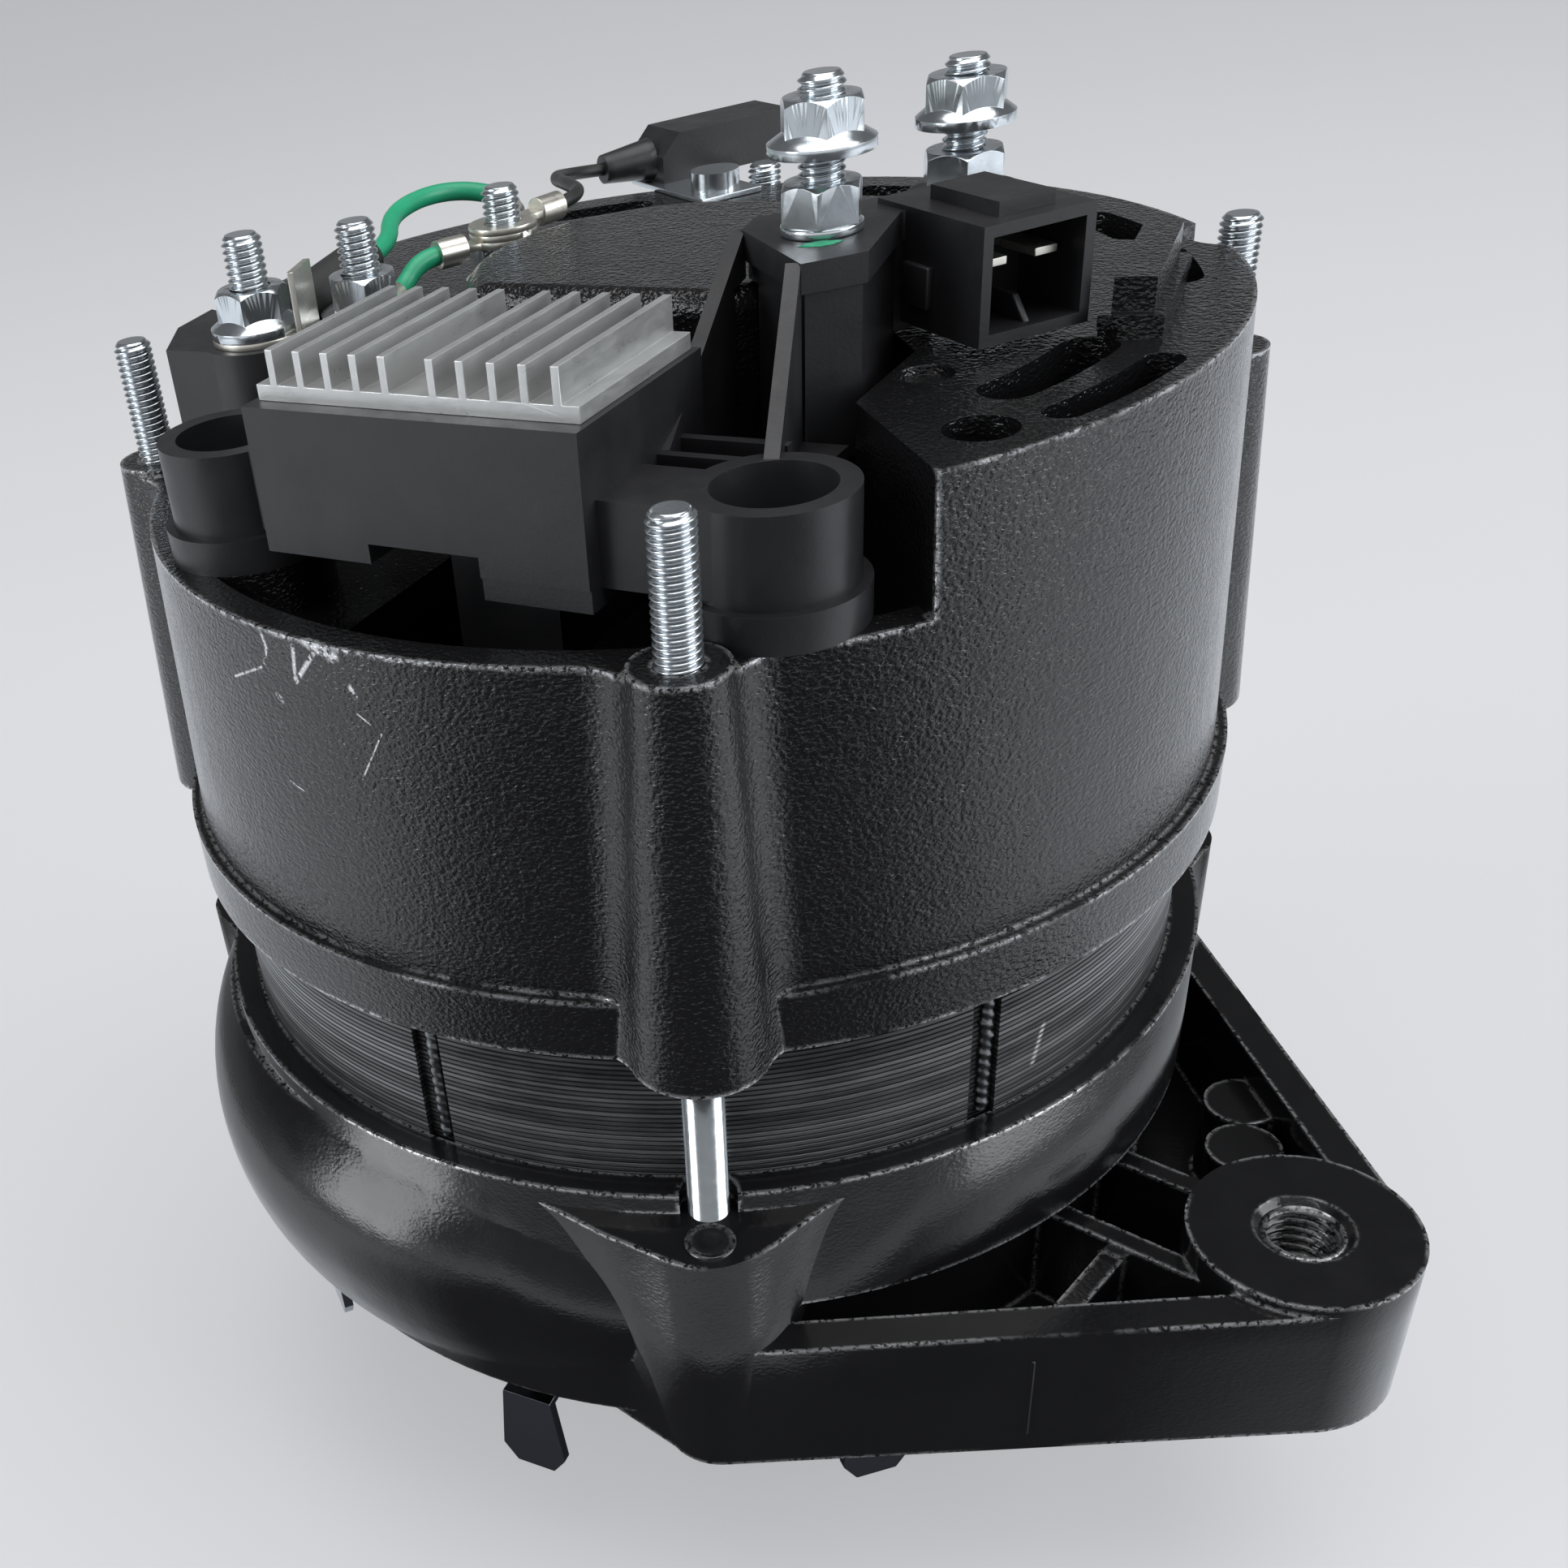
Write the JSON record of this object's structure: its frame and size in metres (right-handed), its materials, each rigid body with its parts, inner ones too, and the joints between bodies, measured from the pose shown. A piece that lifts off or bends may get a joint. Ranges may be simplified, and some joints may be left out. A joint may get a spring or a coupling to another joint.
{
  "type": "claw-pole alternator",
  "caption": "Vehicle alternator with V-belt pulley and fan below, black two-part housing, bolt-on foot and a regulator with plug socket and terminal studs on its rear face.",
  "frame": {"origin": "on the shaft axis, in the middle plane of the V-belt groove", "axes": "+Z along the shaft towards the rear (terminal) end; +X roughly towards the mounting foot"},
  "size_m": [0.1802, 0.1488, 0.1924],
  "materials": {
    "cast_black": "black powder coat on die-cast aluminium, semi-gloss, fine orange peel",
    "lamination": "varnished electrical steel laminations, dark",
    "copper_winding": "enamelled copper wire under varnish",
    "copper": "turned copper",
    "zinc_steel": "bright zinc plating, bluish",
    "bearing_steel": "ground steel",
    "rotor_iron": "forged steel, thin varnish",
    "pulley_iron": "black coated steel pulley",
    "black_plastic": "glass-filled moulding, satin",
    "capacitor_case": "black moulded case",
    "bare_aluminium": "extruded, sawn ends",
    "tinned_brass": "tinned contact metal",
    "carbon": "copper-graphite brush",
    "spring_steel": "spring wire",
    "black_rubber": "soft boot",
    "green_insulation": "green wire insulation",
    "black_insulation": "black wire insulation"
  },
  "bodies": {
    "stator": {"bearing_retainer": "zinc_steel", "blade_terminal": "tinned_brass", "capacitor_bracket": "zinc_steel", "capacitor_lead": "black_insulation", "capacitor_screw": "zinc_steel", "connector_pins": "tinned_brass", "drive_end_housing": "cast_black", "field_stud_bush": "black_plastic", "front_bearing_outer_race": "bearing_steel", "green_leads": "green_insulation", "heat_sink": "bare_aluminium", "lead_boot": "black_rubber", "lower_brush_spring": "spring_steel", "negative_diode_plate": "bare_aluminium", "negative_diodes": "tinned_brass", "output_flange_nut": "zinc_steel", "output_insulator": "black_plastic", "output_nut": "zinc_steel", "output_stud": "zinc_steel", "positive_diode_plate": "bare_aluminium", "positive_diodes": "tinned_brass", "rear_bearing_outer_race": "bearing_steel", "rear_housing": "cast_black", "rectifier_screws": "zinc_steel", "rectifier_spacers": "black_plastic", "regulator_housing": "black_plastic", "regulator_screws": "zinc_steel", "retainer_screws": "zinc_steel", "ring_terminals": "tinned_brass", "stator_core": "lamination", "stator_winding": "copper_winding", "suppression_capacitor": "capacitor_case", "terminal_block": "black_plastic", "terminal_flange_nuts": "zinc_steel", "terminal_studs": "zinc_steel", "through_bolts": "zinc_steel", "tower_flange_nut": "zinc_steel", "tower_nut": "zinc_steel", "tower_stud": "zinc_steel", "tower_washer": "zinc_steel", "upper_brush_spring": "spring_steel"},
    "rotor": {"rotor_shaft": "bearing_steel", "front_claw_pole": "rotor_iron", "rear_claw_pole": "rotor_iron", "coil_bobbin": "black_plastic", "field_coil": "copper_winding", "slip_ring_sleeve": "black_plastic", "slip_rings": "copper", "fan": "zinc_steel", "fan_spacer": "bearing_steel", "pulley": "pulley_iron", "shaft_key": "bearing_steel", "lock_washer": "zinc_steel", "shaft_nut": "zinc_steel", "front_bearing_inner_race": "bearing_steel", "rear_bearing_inner_race": "bearing_steel"},
    "front_balls": {"front_bearing_balls": "bearing_steel"},
    "rear_balls": {"rear_bearing_balls": "bearing_steel"},
    "lower_brush": {"lower_brush": "carbon"},
    "upper_brush": {"upper_brush": "carbon"}
  },
  "joints": [
    {"name": "rotor_spin", "type": "hinge", "parent": "stator", "child": "rotor", "pos_m": [0, 0, 0], "axis": [0, 0, 1], "continuous": true},
    {"name": "front_ball_roll", "type": "hinge", "parent": "stator", "child": "front_balls", "pos_m": [0, 0, 0.043], "axis": [0, 0, 1], "continuous": true},
    {"name": "rear_ball_roll", "type": "hinge", "parent": "stator", "child": "rear_balls", "pos_m": [0, 0, 0.1525], "axis": [0, 0, 1], "continuous": true},
    {"name": "lower_brush_slide", "type": "slide", "parent": "stator", "child": "lower_brush", "axis": [0.342, -0.9397, 0], "range_m": [0, 0.004], "stiffness_N_per_m": 300, "springref_m": -0.008, "deforming": ["lower_brush_spring"]},
    {"name": "upper_brush_slide", "type": "slide", "parent": "stator", "child": "upper_brush", "axis": [0.342, -0.9397, 0], "range_m": [0, 0.004], "stiffness_N_per_m": 300, "springref_m": -0.008, "deforming": ["upper_brush_spring"]}
  ],
  "couplings": [
    {"joint": "front_ball_roll", "follows": "rotor_spin", "ratio": 0.3641},
    {"joint": "rear_ball_roll", "follows": "rotor_spin", "ratio": 0.38}
  ]
}
